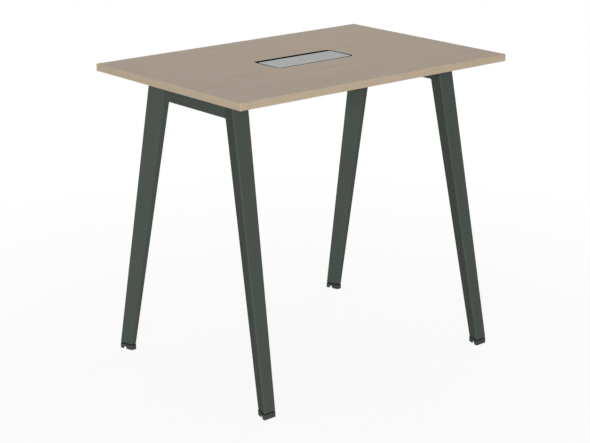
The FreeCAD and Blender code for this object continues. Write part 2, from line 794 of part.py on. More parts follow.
def make_brush():
    holder = new_body("brush_holder")
    top = "(tableHeight - brushHolderDrop)"
    plan = new_sketch(holder, offset=f"{top} - brushHolderTall")
    half = f"({RIM_INNER_X} - lidCornerRound - lidGap - brushEndGap)"
    near = f"({RIM_INNER_Y} - brushHolderDepth)"
    draw_rectangle(plan, f"-{half}", near, half, RIM_INNER_Y)
    pad(holder, plan, "brushHolderTall")
    bristles = new_body("brush_bristles")
    middle = f"({top} - brushHolderTall / 2)"
    row = new_sketch(bristles, offset=f"{middle} - brushThick / 2")
    draw_rectangle(row, f"-{half}", f"{near} - brushReach", half, near)
    pad(bristles, row, "brushThick")
    return [holder, bristles]


corner_makers = (make_leg, make_top_plate, make_plug, make_level_nut, make_foot, make_level_screw, make_ring)
nodes = [make_board()]
for side_name, side in SIDES.items():
    nodes.append(make_long_band(side_name, side))
    nodes.append(make_long_rail(side_name, side))
for end_name, end in ENDS.items():
    nodes.append(make_short_band(end_name, end))
    nodes.append(make_end_rail(end_name, end))
    for side_name, side in SIDES.items():
        nodes.append(make_cleat(end_name, end, side_name, side))
for corner_name, (corner_x, corner_y) in CORNERS.items():
    for make in corner_makers:
        nodes.append(make(corner_name, corner_x, corner_y))
nodes.append(make_top_screws())
nodes += make_rail_bolts()
nodes += [make_port_frame(), make_lid(), make_hinge_pins(), make_port_screws()]
nodes += make_brush()
doc.recompute()

for item in doc.Objects:
    if "Invalid" in item.State or "Error" in item.State:
        raise ValueError(f"{item.Label} failed: {item.State}")
for node in nodes:
    if node.Shape.isNull() or not node.Shape.isValid():
        raise ValueError(f"{node.Label} has no valid shape")

os.makedirs("parts", exist_ok=True)
for node in nodes:
    node.Shape.exportStep(f"parts/{node.Label}.step")
    print(node.Label, len(node.Shape.Solids), round(node.Shape.Volume))
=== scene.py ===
import itertools
import math

import bmesh
import bpy
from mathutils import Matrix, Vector


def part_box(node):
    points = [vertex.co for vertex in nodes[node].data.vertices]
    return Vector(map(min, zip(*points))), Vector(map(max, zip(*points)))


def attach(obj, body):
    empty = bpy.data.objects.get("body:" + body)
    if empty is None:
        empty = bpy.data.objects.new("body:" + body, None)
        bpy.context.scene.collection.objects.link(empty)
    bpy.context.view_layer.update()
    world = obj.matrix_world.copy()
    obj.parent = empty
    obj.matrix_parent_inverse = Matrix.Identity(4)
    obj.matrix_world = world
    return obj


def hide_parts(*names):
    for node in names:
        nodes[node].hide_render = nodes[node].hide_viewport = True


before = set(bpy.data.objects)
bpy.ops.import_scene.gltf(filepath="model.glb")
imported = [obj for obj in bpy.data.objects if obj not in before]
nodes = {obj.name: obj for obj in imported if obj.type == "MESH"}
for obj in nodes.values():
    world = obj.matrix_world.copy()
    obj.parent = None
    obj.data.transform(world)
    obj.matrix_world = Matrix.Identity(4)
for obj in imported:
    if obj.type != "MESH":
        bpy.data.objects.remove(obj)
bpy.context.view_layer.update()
corners = {"front_left": (-1, -1), "front_right": (1, -1), "back_left": (-1, 1), "back_right": (1, 1)}
print("frame loaded,", len(nodes), "nodes")


# camera and studio

camera = {
    "place": (-3.4434, -4.0196, 2.1396),
    "azimuth": -40.393,
    "elevation": 17.134,
    "focalPixels": 1535.9,
    "centre": (299.0, 213.7),
}
image = {"width": 590, "height": 443, "sensor": 36}


def makeCamera():
    data = bpy.data.cameras.new("camera")
    data.sensor_width = image["sensor"]
    data.lens = camera["focalPixels"] * image["sensor"] / image["width"]
    data.shift_x = (image["width"] / 2 - camera["centre"][0]) / image["width"]
    data.shift_y = (camera["centre"][1] - image["height"] / 2) / image["width"]
    item = bpy.data.objects.new("camera", data)
    bpy.context.scene.collection.objects.link(item)
    item.location = camera["place"]
    item.rotation_euler = (math.radians(90 - camera["elevation"]), 0, math.radians(camera["azimuth"]))
    bpy.context.scene.camera = item


def srgb(red, green, blue):
    # an sRGB colour, 0 to 255, made linear
    def linear(level):
        level /= 255
        return level / 12.92 if level <= 0.04045 else ((level + 0.055) / 1.055) ** 2.4
    return (linear(red), linear(green), linear(blue), 1)


class Wire:
    # one output of a node; arithmetic on it adds Math nodes
    def __init__(self, shader, socket):
        self.shader = shader
        self.socket = socket

    def __add__(self, other):
        return self.shader.maths("ADD", self, other)

    def __radd__(self, other):
        return self.shader.maths("ADD", other, self)

    def __sub__(self, other):
        return self.shader.maths("SUBTRACT", self, other)

    def __rsub__(self, other):
        return self.shader.maths("SUBTRACT", other, self)

    def __mul__(self, other):
        return self.shader.maths("MULTIPLY", self, other)

    def __rmul__(self, other):
        return self.shader.maths("MULTIPLY", other, self)


class Shader:
    # the node tree of a material or of the world
    def __init__(self, owner):
        self.owner = owner
        owner.use_nodes = True
        self.tree = owner.node_tree
        self.tree.nodes.clear()

    def add(self, kind, settings, inputs, output=0):
        # a node: its settings come first, then the values or links of its sockets
        node = self.tree.nodes.new("ShaderNode" + kind)
        for name, value in settings.items():
            if name == "stops":
                self.setStops(node.color_ramp, value)
            else:
                setattr(node, name, value)
        for name, value in inputs.items():
            socket = node.inputs[name]
            if isinstance(value, Wire):
                self.tree.links.new(value.socket, socket)
            else:
                socket.default_value = value
        return Wire(self, node.outputs[output]) if len(node.outputs) else None

    def setStops(self, ramp, stops):
        # a new ramp has two stops, and no ramp here needs more
        for element, (place, level) in zip(ramp.elements, stops):
            element.position = place
            element.color = (level, level, level, 1)

    def maths(self, operation, first, second, clamp=False):
        return self.add("Math", {"operation": operation, "use_clamp": clamp}, {0: first, 1: second})

    def place(self, stretch=(1, 1, 1), turn=0):
        # the place on the object in metres, turned about Z and scaled by stretch
        spot = self.add("TexCoord", {}, {}, "Object")
        return self.add("Mapping", {}, {"Vector": spot, "Scale": stretch, "Rotation": (0, 0, turn)})

    def noise(self, scale, detail=2, rough=0.5, stretch=(1, 1, 1), turn=0):
        return self.add("TexNoise", {}, {
            "Vector": self.place(stretch, turn),
            "Scale": scale,
            "Detail": detail,
            "Roughness": rough,
        })

    def ramp(self, value, low, high):
        # 0 up to one level, 1 from another, and even between them
        return self.add("ValToRGB", {"stops": ((low, 0), (high, 1))}, {"Fac": value})

    def mix(self, factor, first, second):
        return self.add("Mix", {"data_type": "RGBA"}, {0: factor, 6: first, 7: second}, 2)

    def between(self, value, low, high):
        # 1 where a value lies between two levels, 0 elsewhere
        return self.maths("GREATER_THAN", value, low) * self.maths("LESS_THAN", value, high)

    def finish(self, relief, depth, sockets):
        # the surface, with a relief this deep in metres
        normal = self.add("Bump", {}, {"Height": relief, "Distance": depth, "Strength": 1.0})
        surface = self.add("BsdfPrincipled", {}, {**sockets, "Normal": normal})
        self.add("OutputMaterial", {}, {"Surface": surface})
        return self.owner


def newShader(name):
    return Shader(bpy.data.materials.new(name))


studio = {
    "ambient": 0.18,  # the world's level as light
    "sheen": 0.7,  # and in gloss
    "aim": (0, 0, 0.7),
    "floorSize": 60,
    "floorSides": 96,
    "floorTone": 0.72,
    "floorSpots": {"scale": 2, "detail": 3},
    "floorSpotTone": 0.98,
    "floorShow": 0.92,  # how white the floor is below the table, where its shadow shows
    "floorFade": (0.9, 2.4),  # between these distances it turns all white
}

# the low lamps aren't mirrored in gloss, where they would white out the top
lamps = {
    "key": {"place": (-15.2, -16.2, 3.2), "size": 10, "power": 5700, "mirrored": False},
    "top": {"place": (0.3, 0.5, 3.6), "size": 4.8, "power": 60, "mirrored": True},
    "back": {"place": (15, 7, 1.6), "size": 6, "power": 1900, "mirrored": False},
}


def makeWorld():
    # white where it is looked at, dimmer in gloss, and dimmer still as light
    world = bpy.data.worlds.new("studio")
    bpy.context.scene.world = world
    shader = Shader(world)
    ambient = studio["ambient"]
    direct = shader.add("LightPath", {}, {}, "Is Camera Ray")
    mirrored = shader.add("LightPath", {}, {}, "Is Glossy Ray")
    through = shader.add("LightPath", {}, {}, "Is Transmission Ray")
    seen = shader.maths("MAXIMUM", direct, through)
    level = ambient + seen * (1 - ambient) + mirrored * (studio["sheen"] - ambient)
    light = shader.add("Background", {}, {"Color": (1, 1, 1, 1), "Strength": level})
    shader.add("OutputWorld", {}, {"Surface": light})


def makeLamps():
    for name, lamp in lamps.items():
        data = bpy.data.lights.new(name, "AREA")
        data.shape = "DISK"
        data.size = lamp["size"]
        data.energy = lamp["power"]
        item = bpy.data.objects.new(name, data)
        bpy.context.scene.collection.objects.link(item)
        item.location = lamp["place"]
        away = item.location - Vector(studio["aim"])
        item.rotation_euler = away.to_track_quat("Z", "Y").to_euler()
        item.visible_glossy = lamp["mirrored"]


def makeFloor():
    bpy.ops.object.select_all(action="DESELECT")
    bpy.ops.mesh.primitive_circle_add(
        vertices=studio["floorSides"],
        radius=studio["floorSize"] / 2,
        fill_type="NGON",
    )
    floor = bpy.context.object
    floor.name = "studioFloor"
    shader = newShader("studioFloor")
    tone = studio["floorTone"]
    dim = tone * studio["floorSpotTone"]
    spots = shader.noise(**studio["floorSpots"])
    colour = shader.mix(spots, (tone, tone, tone, 1), (dim, dim, dim, 1))
    lit = shader.add("BsdfDiffuse", {}, {"Color": colour})
    bright = shader.add("Emission", {}, {"Color": (1, 1, 1, 1), "Strength": 1.0})
    # white away from the table, and nearly so below it, where its shadow shows
    near, far = studio["floorFade"]
    reach = shader.add("VectorMath", {"operation": "LENGTH"}, {0: shader.place()}, "Value")
    fade = shader.maths("MULTIPLY", reach - near, 1 / (far - near), clamp=True)
    show = studio["floorShow"] + fade * (1 - studio["floorShow"])
    seen = shader.add("LightPath", {}, {}, "Is Camera Ray") * show
    surface = shader.add("MixShader", {}, {0: seen, 1: lit, 2: bright})
    # nothing of the floor shows from below, so that the underside can be looked at
    below = shader.add("NewGeometry", {}, {}, "Backfacing")
    clear = shader.add("BsdfTransparent", {}, {"Color": (1, 1, 1, 1)})
    surface = shader.add("MixShader", {}, {0: below, 1: surface, 2: clear})
    shader.add("OutputMaterial", {}, {"Surface": surface})
    floor.data.materials.append(shader.owner)


bpy.context.scene.view_settings.view_transform = "Standard"
makeCamera()
makeWorld()
makeLamps()
makeFloor()
print("camera, lamps and floor made")


# finishes: each has its colours, its noises, the levels that cut them off, and how much each one does

laminate = {
    "light": srgb(167, 152, 135),
    "dark": srgb(163, 148, 131),
    "rosy": srgb(169, 151, 135),
    "pore": srgb(148, 132, 114),
    "core": srgb(176, 148, 112),
    "coreDark": srgb(134, 104, 72),
    "backing": srgb(150, 146, 140),
    "backingDark": srgb(141, 137, 131),
    "broad": {"scale": 2.6, "detail": 5, "rough": 0.55, "stretch": (1, 11, 11)},
    "fine": {"scale": 5, "detail": 6, "rough": 0.62, "stretch": (1.6, 60, 60)},
    "dashes": {"scale": 9, "stretch": (9, 240, 240)},
    "hairs": {"scale": 4, "detail": 3, "rough": 0.6, "stretch": (5, 420, 420)},
    "patches": {"scale": 4.5, "detail": 3, "rough": 0.55, "stretch": (1, 1.7, 1)},
    "chips": {"scale": 420, "detail": 4, "rough": 0.7, "stretch": (1, 1, 2.2)},
    "specks": {"scale": 260, "detail": 3},
    "streakLevels": (0.36, 0.64),
    "dashLevels": (0.63, 0.7),
    "poreLevels": (0.42, 0.6),
    "hairLevels": (0.5, 0.66),
    "patchLevels": (0.4, 0.62),
    "chipLevels": (0.4, 0.6),
    "broadShare": 0.55,
    "rosyShare": 0.7,
    "poreShare": 0.5,
    "hairShare": 0.4,
    "fineRelief": 0.35,
    "poreRelief": 0.5,
    "hairRelief": 0.2,
    "relief": 0.00012,
    "roughness": 0.5,
    "streakRoughness": 0.08,
    "poreRoughness": 0.1,
    "gloss": 0.35,
    "sheetThick": 0.0005,
}


def makeLaminate():
    shader = newShader("woodLaminate")
    broad = shader.noise(**laminate["broad"])
    fine = shader.noise(**laminate["fine"])
    dashes = shader.ramp(shader.noise(**laminate["dashes"]), *laminate["dashLevels"])
    pores = dashes * shader.ramp(fine, *laminate["poreLevels"])
    hairs = shader.ramp(shader.noise(**laminate["hairs"]), *laminate["hairLevels"])
    blend = broad * laminate["broadShare"] + fine * (1 - laminate["broadShare"])
    streaks = shader.ramp(blend, *laminate["streakLevels"])
    patches = shader.ramp(shader.noise(**laminate["patches"]), *laminate["patchLevels"])
    face = shader.mix(streaks, laminate["light"], laminate["dark"])
    face = shader.mix(patches * laminate["rosyShare"], face, laminate["rosy"])
    face = shader.mix(pores * laminate["poreShare"], face, laminate["pore"])
    face = shader.mix(hairs * laminate["hairShare"], face, laminate["pore"])
    # the board's core shows between its sheets, where it is cut, and its backing below
    chips = shader.noise(**laminate["chips"])
    chipTone = shader.ramp(chips, *laminate["chipLevels"])
    core = shader.mix(chipTone, laminate["core"], laminate["coreDark"])
    backing = shader.mix(shader.noise(**laminate["specks"]), laminate["backing"], laminate["backingDark"])
    low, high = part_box("tabletop_board")
    lowSheet = low.z + laminate["sheetThick"]
    height = shader.add("SeparateXYZ", {}, {"Vector": shader.place()}, "Z")
    inside = shader.between(height, lowSheet, high.z - laminate["sheetThick"])
    under = shader.maths("LESS_THAN", height, lowSheet)
    colour = shader.mix(under, shader.mix(inside, face, core), backing)
    relief = fine * laminate["fineRelief"] - pores * laminate["poreRelief"]
    relief = relief - hairs * laminate["hairRelief"] + chips * inside
    streakRough = laminate["roughness"] + streaks * laminate["streakRoughness"]
    return shader.finish(relief, laminate["relief"], {
        "Base Color": colour,
        "Roughness": streakRough + pores * laminate["poreRoughness"],
        "Specular IOR Level": laminate["gloss"],
    })


edgeBand = {
    "light": srgb(184, 168, 145),
    "dark": srgb(171, 154, 132),
    "pore": srgb(132, 116, 98),
    "streaks": {"scale": 4, "detail": 5, "rough": 0.6, "stretch": (2.5, 120, 120)},
    "dashes": {"scale": 7, "stretch": (10, 420, 420)},
    "streakLevels": (0.35, 0.66),
    "poreLevels": (0.64, 0.7),
    "poreShare": 0.4,
    "streakRelief": 0.5,
    "poreRelief": 0.4,
    "relief": 0.0001,
    "roughness": 0.44,
    "streakRoughness": 0.1,
}


def makeEdgeBand(name, turn):
    # streaks run along the band; turn brings its length onto X
    shader = newShader(name)
    streaks = shader.noise(**edgeBand["streaks"], turn=turn)
    pores = shader.ramp(shader.noise(**edgeBand["dashes"], turn=turn), *edgeBand["poreLevels"])
    tone = shader.ramp(streaks, *edgeBand["streakLevels"])
    colour = shader.mix(tone, edgeBand["light"], edgeBand["dark"])
    colour = shader.mix(pores * edgeBand["poreShare"], colour, edgeBand["pore"])
    relief = streaks * edgeBand["streakRelief"] - pores * edgeBand["poreRelief"]
    return shader.finish(relief, edgeBand["relief"], {
        "Base Color": colour,
        "Roughness": edgeBand["roughness"] + streaks * edgeBand["streakRoughness"],
    })


powderCoat = {
    "light": srgb(74, 80, 74),
    "dark": srgb(69, 75, 69),
    "worn": srgb(86, 92, 85),
    "cloud": {"scale": 9, "detail": 3},
    "peel": {"scale": 1150, "rough": 0.55},
    "grit": {"scale": 2600, "detail": 1},
    "gritLevels": (0.66, 0.74),
    "gritShare": 0.35,
    "relief": 0.00016,
    "roughness": 0.46,
    "peelRoughness": 0.14,
    "gloss": 0.03,
}


def makePowderCoat():
    shader = newShader("powderCoat")
    peel = shader.noise(**powderCoat["peel"])
    grit = shader.ramp(shader.noise(**powderCoat["grit"]), *powderCoat["gritLevels"])
    colour = shader.mix(shader.noise(**powderCoat["cloud"]), powderCoat["light"], powderCoat["dark"])
    colour = shader.mix(grit * powderCoat["gritShare"], colour, powderCoat["worn"])
    return shader.finish(peel, powderCoat["relief"], {
        "Base Color": colour,
        "Roughness": powderCoat["roughness"] + peel * powderCoat["peelRoughness"],
        "Specular IOR Level": powderCoat["gloss"],
    })


footPlastic = {
    "light": srgb(70, 75, 70),
    "dark": srgb(63, 68, 63),
    "scuff": srgb(90, 92, 87),
    "cloud": {"scale": 40, "detail": 3},
    "grain": {"scale": 1800},
    "marks": {"scale": 160, "detail": 5, "rough": 0.7, "stretch": (1, 1, 4)},
    "markLevels": (0.5, 0.62),
    "markShare": 0.6,
    "markHeight": 0.00625,
    "relief": 0.00008,
    "roughness": 0.5,
    "markRoughness": 0.2,
    "gloss": 0.08,
}


def makeFootPlastic():
    # moulded, and scuffed just above the floor
    shader = newShader("footPlastic")
    height = shader.add("SeparateXYZ", {}, {"Vector": shader.place()}, "Z")
    low = shader.maths("SUBTRACT", 1.0, height * (1 / footPlastic["markHeight"]), clamp=True)
    marks = shader.ramp(shader.noise(**footPlastic["marks"]), *footPlastic["markLevels"]) * low
    colour = shader.mix(shader.noise(**footPlastic["cloud"]), footPlastic["light"], footPlastic["dark"])
    colour = shader.mix(marks * footPlastic["markShare"], colour, footPlastic["scuff"])
    return shader.finish(shader.noise(**footPlastic["grain"]), footPlastic["relief"], {
        "Base Color": colour,
        "Roughness": footPlastic["roughness"] + marks * footPlastic["markRoughness"],
        "Specular IOR Level": footPlastic["gloss"],
    })


blackPlastic = {
    "light": srgb(26, 26, 27),
    "dark": srgb(18, 18, 19),
    "cloud": {"scale": 30, "detail": 3},
    "grain": {"scale": 1500, "detail": 3, "rough": 0.6},
    "relief": 0.00008,
    "roughness": 0.56,
    "grainRoughness": 0.2,
    "gloss": 0.02,
}


def makeBlackPlastic():
    shader = newShader("blackPlastic")
    grain = shader.noise(**blackPlastic["grain"])
    cloud = shader.noise(**blackPlastic["cloud"])
    return shader.finish(grain, blackPlastic["relief"], {
        "Base Color": shader.mix(cloud, blackPlastic["light"], blackPlastic["dark"]),
        "Roughness": blackPlastic["roughness"] + grain * blackPlastic["grainRoughness"],
        "Specular IOR Level": blackPlastic["gloss"],
    })


zinc = {
    "light": srgb(198, 199, 196),
    "dark": srgb(168, 170, 170),
    "bloom": {"scale": 210, "detail": 4, "rough": 0.6},
    "relief": 0.00004,
    "roughness": 0.26,
    "bloomRoughness": 0.18,
}


def makeZinc():
    shader = newShader("zincPlate")
    bloom = shader.noise(**zinc["bloom"])
    return shader.finish(bloom, zinc["relief"], {
        "Base Color": shader.mix(bloom, zinc["light"], zinc["dark"]),
        "Metallic": 1.0,
        "Roughness": zinc["roughness"] + bloom * zinc["bloomRoughness"],
    })


bristleFinish = {
    "light": srgb(30, 30, 31),
    "dark": srgb(18, 18, 19),
    "strand": {"scale": 1, "stretch": (900, 20, 900)},
    "relief": 0.00003,
    "roughness": 0.42,
    "strandRoughness": 0.2,
    "gloss": 0.06,
}


def makeBristle():
    shader = newShader("nylonBristle")
    strand = shader.noise(**bristleFinish["strand"])
    return shader.finish(strand, bristleFinish["relief"], {
        "Base Color": shader.mix(strand, bristleFinish["dark"], bristleFinish["light"]),
        "Roughness": bristleFinish["roughness"] + strand * bristleFinish["strandRoughness"],
        "Specular IOR Level": bristleFinish["gloss"],
    })


lidFinish = {
    "light": srgb(166, 168, 166),
    "dark": srgb(156, 159, 158),
    "lines": {"scale": 3, "detail": 4, "rough": 0.7, "stretch": (2, 900, 900)},
    "haze": {"scale": 2, "detail": 3, "stretch": (3, 9, 9)},
    "hazeShare": 0.6,
    "metallic": 0.85,
    "relief": 0.00003,
    "roughness": 0.36,
    "lineRoughness": 0.16,
}


def makeLidFinish():
    # satin silver, brushed along the lid
    shader = newShader("satinAluminium")
    lines = shader.noise(**lidFinish["lines"])
    haze = shader.noise(**lidFinish["haze"])
    tone = haze * lidFinish["hazeShare"] + lines * (1 - lidFinish["hazeShare"])
    return shader.finish(lines, lidFinish["relief"], {
        "Base Color": shader.mix(tone, lidFinish["light"], lidFinish["dark"]),
        "Metallic": lidFinish["metallic"],
        "Roughness": lidFinish["roughness"] + lines * lidFinish["lineRoughness"],
    })


finishes = {
    "laminate": makeLaminate(),
    "longBand": makeEdgeBand("edgeBandLong", 0),
    "shortBand": makeEdgeBand("edgeBandShort", math.pi / 2),
    "powderCoat": makePowderCoat(),
    "footPlastic": makeFootPlastic(),
    "blackPlastic": makeBlackPlastic(),
    "zinc": makeZinc(),
    "lid": makeLidFinish(),
    "bristle": makeBristle(),
}
nodeFinishes = {
    "tabletop_board": "laminate",
    "edge_band_front": "longBand",
    "edge_band_back": "longBand",
    "edge_band": "shortBand",
    "leg_end_plug": "blackPlastic",
    "leg": "powderCoat",
    "end_rail": "powderCoat",
    "long_rail": "powderCoat",
    "cleat": "powderCoat",
    "top_plate": "powderCoat",
    "foot": "footPlastic",
    "port_frame": "blackPlastic",
    "brush": "blackPlastic",
    "port_lid": "lid",
    "": "zinc",
}


def finishNodes():
    # the first entry that a node's name starts with gives its finish
    for name, node in nodes.items():
        start = next(start for start in nodeFinishes if name.startswith(start))
        node.data.materials.clear()
        node.data.materials.append(finishes[nodeFinishes[start]])


finishNodes()
print("finishes put on the frame's nodes")


# modelling by hand: a primitive, then edit mode

meshing = {
    "mergeBelow": 0.000001,
    "samePlace": 0.00001,
    "smoothBelow": 35,
}


def addRing(count, radius, height, turn=0.0):
    # an open ring about the upright axis, as a new object in edit mode
    bpy.ops.object.select_all(action="DESELECT")
    bpy.ops.mesh.primitive_circle_add(
        vertices=count,
        radius=radius,
        location=(0, 0, height),
        rotation=(0, 0, turn),
    )
    bpy.ops.object.transform_apply(location=True, rotation=True, scale=True)
    bpy.ops.object.mode_set(mode="EDIT")
    return bpy.context.object


def pick(piece, wanted):
    # in edit mode, the vertices whose place is wanted, and nothing else
    bpy.ops.mesh.select_all(action="DESELECT")
    mesh = bmesh.from_edit_mesh(piece.data)
    for vertex in mesh.verts:
        vertex.select_set(wanted(vertex.co))
    mesh.select_flush(True)
    bmesh.update_edit_mesh(piece.data)


def pickEdges(piece, wanted):
    # in edit mode, the edges that are wanted, and nothing else
    bpy.ops.mesh.select_all(action="DESELECT")
    mesh = bmesh.from_edit_mesh(piece.data)
    for edge in mesh.edges:
        edge.select_set(wanted(edge))
    bmesh.update_edit_mesh(piece.data)


def turnRings(steps):
    # from the selected ring, whose radius and height come first, a ring for each further pair
    for (radius, height), (nextRadius, nextHeight) in zip(steps, steps[1:]):
        bpy.ops.mesh.extrude_region_move(TRANSFORM_OT_translate={"value": (0, 0, nextHeight - height)})
        size = nextRadius / radius
        bpy.ops.transform.resize(value=(size, size, 1), center_override=(0, 0, nextHeight))


def closeRing():
    bpy.ops.mesh.edge_face_add()


def ringOutside(piece, count, radius, height):
    # a wider ring round the open one at this height, joined to it and left selected
    bpy.ops.mesh.select_all(action="DESELECT")
    bpy.ops.mesh.primitive_circle_add(vertices=count, radius=radius, location=(0, 0, height))

    def level(spot):
        return abs(spot.z - height) < meshing["samePlace"]

    def openEdge(edge):
        return all(level(end.co) for end in edge.verts) and len(edge.link_faces) < 2

    pickEdges(piece, openEdge)
    bpy.ops.mesh.bridge_edge_loops()
    pick(piece, lambda spot: level(spot) and abs(spot.xy.length - radius) < meshing["samePlace"])


def endEdit(smoothBelow=meshing["smoothBelow"]):
    bpy.ops.mesh.select_all(action="SELECT")
    bpy.ops.mesh.remove_doubles(threshold=meshing["mergeBelow"])
    bpy.ops.mesh.normals_make_consistent(inside=False)
    bpy.ops.object.mode_set(mode="OBJECT")
    bpy.ops.object.shade_smooth_by_angle(angle=math.radians(smoothBelow))


def repeatInRow(piece, count, step, mergeBelow=0.0):
    row = piece.modifiers.new("row", "ARRAY")
    row.count = count
    row.use_relative_offset = False
    row.use_constant_offset = True
    row.constant_offset_displace = step
    row.use_merge_vertices = mergeBelow > 0
    row.merge_threshold = mergeBelow
    bpy.ops.object.modifier_apply(modifier=row.name)


def joinPieces(name, pieces):
    bpy.ops.object.select_all(action="DESELECT")
    for piece in pieces:
        piece.select_set(True)
    bpy.context.view_layer.objects.active = pieces[0]
    if len(pieces) > 1:
        bpy.ops.object.join()
    joined = bpy.context.object
    joined.name = name
    joined.data.name = name
    return joined


def putCopies(model, places):
    # one copy of the model at each place, each with its own mesh, and the model gone
    copies = []
    for place in places:
        bpy.ops.object.select_all(action="DESELECT")
        model.select_set(True)
        bpy.context.view_layer.objects.active = model
        bpy.ops.object.duplicate(linked=False)
        copy = bpy.context.object
        copy.location = place
        bpy.ops.object.transform_apply(location=True, rotation=True, scale=True)
        copies.append(copy)
    bpy.ops.object.select_all(action="DESELECT")
    model.select_set(True)
    bpy.ops.object.delete()
    return copies


def setPiece(piece, body, slot, finish, *replaced):
    piece.data.materials.clear()
    piece.data.materials.append(finishes[finish])
    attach(piece, body)
    if replaced:
        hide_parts(*replaced)


# a thread: a small triangle wound up round the upright axis, its root sunk in the core

thread = {
    "corner": 0.49,  # from the triangle's middle to its corner, as a share of the pitch
    "steps": 20,
    "smoothBelow": 50,
}


def windThread(radius, pitch, low, high):
    corner = pitch * thread["corner"]
    bpy.ops.object.select_all(action="DESELECT")
    quarter = math.pi / 2
    bpy.ops.mesh.primitive_circle_add(
        vertices=3,
        radius=corner,
        location=(radius - corner, 0, low + corner),
        rotation=(quarter, quarter, 0),
    )
    bpy.ops.object.transform_apply(location=True, rotation=True, scale=True)
    ridge = bpy.context.object
    bpy.ops.object.modifier_add(type="SCREW")
    screw = ridge.modifiers[0]
    screw.screw_offset = pitch
    screw.iterations = int((high - low - 2 * corner) / pitch)
    screw.steps = thread["steps"]
    screw.render_steps = thread["steps"]
    bpy.ops.object.modifier_apply(modifier=screw.name)
    bpy.ops.object.mode_set(mode="EDIT")
    bpy.ops.mesh.select_all(action="SELECT")
    bpy.ops.mesh.fill_holes(sides=3)
    endEdit(thread["smoothBelow"])
    return ridge


# pan-head screws with a cross recess, their heads below what they hold

topScrew = {
    "shank": 0.0025,
    "length": 0.019,
    "head": 0.00475,
    "headTall": 0.0026,
    "pitch": 0.0022,
    "point": 0.004,
    "holeInset": 0.011,
}
portScrew = {
    "shank": 0.00175,
    "length": 0.014,
    "head": 0.0035,
    "headTall": 0.002,
    "pitch": 0.0016,
    "point": 0.003,
    "holeInset": 0.007,
    "rowInset": 0.072,
}
# what these screws share, as shares of the sizes above
panHead = {
    "sides": 24,
    "face": 0.62,
    "crossSides": 12,
    "crossWide": 0.62,
    "crossCorner": 0.05,  # this near to a diagonal, a corner goes in
    "crossInset": 0.38,
    "crossDeep": 0.55,
    "crossFloor": 0.45,
    "side": ((0.86, 0.86), (0.97, 0.6), (1, 0.25), (1, 0)),  # radius and height up the head's side
    "core": 0.7,
    "tip": 0.1,
    "plain": 0.001,  # the shank without thread under the head, in metres
}


def makePanScrew(size):
    # the seat is at height 0, the shank goes up and the head hangs below
    head = size["head"]
    tall = size["headTall"]
    face = head * panHead["face"]
    core = size["shank"] * panHead["core"]
    pointStart = size["length"] - size["point"]
    crossSides = panHead["crossSides"]
    screw = addRing(crossSides, face * panHead["crossWide"], -tall, math.pi / crossSides)
    # every third corner of the small ring goes in, which makes the cross
    pick(screw, lambda spot: abs(abs(spot.x) - abs(spot.y)) < face * panHead["crossCorner"])
    inset = panHead["crossInset"]
    bpy.ops.transform.resize(value=(inset, inset, 1), center_override=(0, 0, -tall))
    pick(screw, lambda spot: True)
    deep = tall * panHead["crossDeep"]
    taper = panHead["crossFloor"]
    bpy.ops.mesh.extrude_region_move(TRANSFORM_OT_translate={"value": (0, 0, deep)})
    bpy.ops.transform.resize(value=(taper, taper, 1), center_override=(0, 0, deep - tall))
    closeRing()
    ringOutside(screw, panHead["sides"], face, -tall)
    turnRings([
        (face, -tall),
        *((head * wide, -tall * high) for wide, high in panHead["side"]),
        (core, 0),
        (core, pointStart),
        (core * panHead["tip"], size["length"]),
    ])
    closeRing()
    endEdit()
    ridge = windThread(size["shank"], size["pitch"], panHead["plain"], pointStart)
    return joinPieces("screwModel", [screw, ridge])


def plateHoles():
    places = []
    inset = topScrew["holeInset"]
    for corner in corners:
        low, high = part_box("top_plate_" + corner)
        for x in (low.x + inset, high.x - inset):
            for y in (low.y + inset, high.y - inset):
                places.append((x, y, low.z))
    return places


def flangeHoles():
    low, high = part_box("port_frame")
    inset = portScrew["holeInset"]
    places = [(x, 0, low.z) for x in (low.x + inset, high.x - inset)]
    row = portScrew["rowInset"]
    for x in (low.x + row, high.x - row):
        places += [(x, y, low.z) for y in (low.y + inset, high.y - inset)]
    return places


topScrews = joinPieces("topScrews", putCopies(makePanScrew(topScrew), plateHoles()))
setPiece(topScrews, "table", "zinc_steel", "zinc", "top_screws")
portScrews = joinPieces("portScrews", putCopies(makePanScrew(portScrew), flangeHoles()))
setPiece(portScrews, "table", "zinc_steel", "zinc", "port_screws")
print("screws under the top made")


# hexagon bolts that hold the long rails to their cleats

railBolt = {
    "wide": 0.013,
    "headTall": 0.0053,
    "collarTall": 0.0004,
    "collarRadius": 0.00611,
    "chamfer": 0.93,  # the face that the chamfer leaves, as a share of the width
    "chamferAngle": 30,
    "chamferSides": 48,
    "shankSides": 32,
    "radius": 0.004,
    "core": 0.00336,
    "end": 0.85,  # as a share of the core
    "length": 0.0148,
    "plain": 0.004,
    "step": 0.0003,
    "edge": 0.0006,
    "pitch": 0.00125,
}


